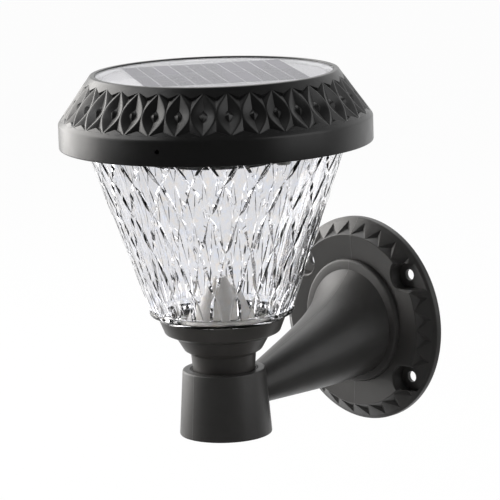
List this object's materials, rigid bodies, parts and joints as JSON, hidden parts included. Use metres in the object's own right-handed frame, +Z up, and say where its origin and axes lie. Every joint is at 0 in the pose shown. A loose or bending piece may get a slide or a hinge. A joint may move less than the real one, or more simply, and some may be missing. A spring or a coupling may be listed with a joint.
{
  "type": "solar wall light",
  "caption": "Solar wall light: round diamond-cut clear lens under a petalled black lid with a solar panel, on a cup and neck plugged into a trumpet-shaped wall arm.",
  "frame": {"origin": "centre of the wall plate's flat back, where the four wall screws are centred", "axes": "+Y into the wall, so the lamp stands out along -Y; +Z up; +X to the lamp's right seen from the wall's outer side"},
  "size_m": [0.1524, 0.1772, 0.1908],
  "materials": {
    "bracket_plastic": "matt charcoal moulded plastic, finely textured",
    "cup_plastic": "matt charcoal moulded plastic",
    "lid_plastic": "satin near-black moulded plastic",
    "clear_lens": "clear polished plastic cut with diamonds",
    "pearl_plastic": "pearly pale plastic",
    "white_plastic": "white reflector plastic",
    "tray_plastic": "matt black moulded plastic",
    "seal_rubber": "matt black rubber",
    "collar_rubber": "matt charcoal rubber",
    "gasket_silicone": "soft translucent silicone",
    "screw_steel": "zinc-plated steel",
    "black_steel": "blackened steel",
    "led_board_metal": "white solder mask on aluminium",
    "led_phosphor": "yellow phosphor",
    "board_green": "green solder mask",
    "component_black": "black moulded components",
    "cell_wrap": "blue shrink wrap on a metal can",
    "contact_nickel": "nickel-plated spring steel",
    "switch_grey": "grey moulded plastic",
    "button_silver": "silver-grey moulded plastic",
    "panel_white": "pale laminate",
    "cell_silicon": "grey silicon with fine lines",
    "ribbon_tin": "tinned ribbon",
    "panel_clear": "clear resin cover",
    "lead_red": "red insulated lead"
  },
  "bodies": {
    "bracket": {"wall_bracket": "bracket_plastic"},
    "seal": {"neck_seal": "collar_rubber"},
    "head": {"base_cup": "cup_plastic", "base_gasket": "gasket_silicone", "base_reflector": "pearl_plastic", "base_screws": "screw_steel", "lens": "clear_lens", "lens_gasket": "gasket_silicone", "lid_floor": "lid_plastic", "lid_shell": "lid_plastic", "lid_screws": "screw_steel", "locking_screw": "black_steel", "led_reflector": "white_plastic", "led_board": "led_board_metal", "led_chips": "led_phosphor", "led_screws": "screw_steel", "driver_board": "board_green", "driver_parts": "component_black", "board_screws": "screw_steel", "battery_tray": "tray_plastic", "battery_cell": "cell_wrap", "battery_contacts": "contact_nickel", "switch_board": "board_green", "tact_switch": "switch_grey", "panel_seal": "seal_rubber", "solar_backing": "panel_white", "solar_cells": "cell_silicon", "cell_ribbons": "ribbon_tin", "panel_cover": "panel_clear", "panel_leads": "lead_red", "battery_leads": "lead_red", "led_leads": "lead_red", "switch_leads": "lead_red"},
    "button": {"mode_button": "button_silver"}
  },
  "joints": [
    {"name": "head_lift", "type": "slide", "parent": "bracket", "child": "seal", "axis": [0, 0, 1], "range_m": [0, 0.026]},
    {"name": "head_turn", "type": "hinge", "parent": "seal", "child": "head", "pos_m": [0, -0.101, 0], "axis": [0, 0, 1], "continuous": true},
    {"name": "button_press", "type": "slide", "parent": "head", "child": "button", "axis": [0, 0, 1], "range_m": [0, 0.0008], "stiffness_N_per_m": 400, "springref_m": -0.0003}
  ]
}
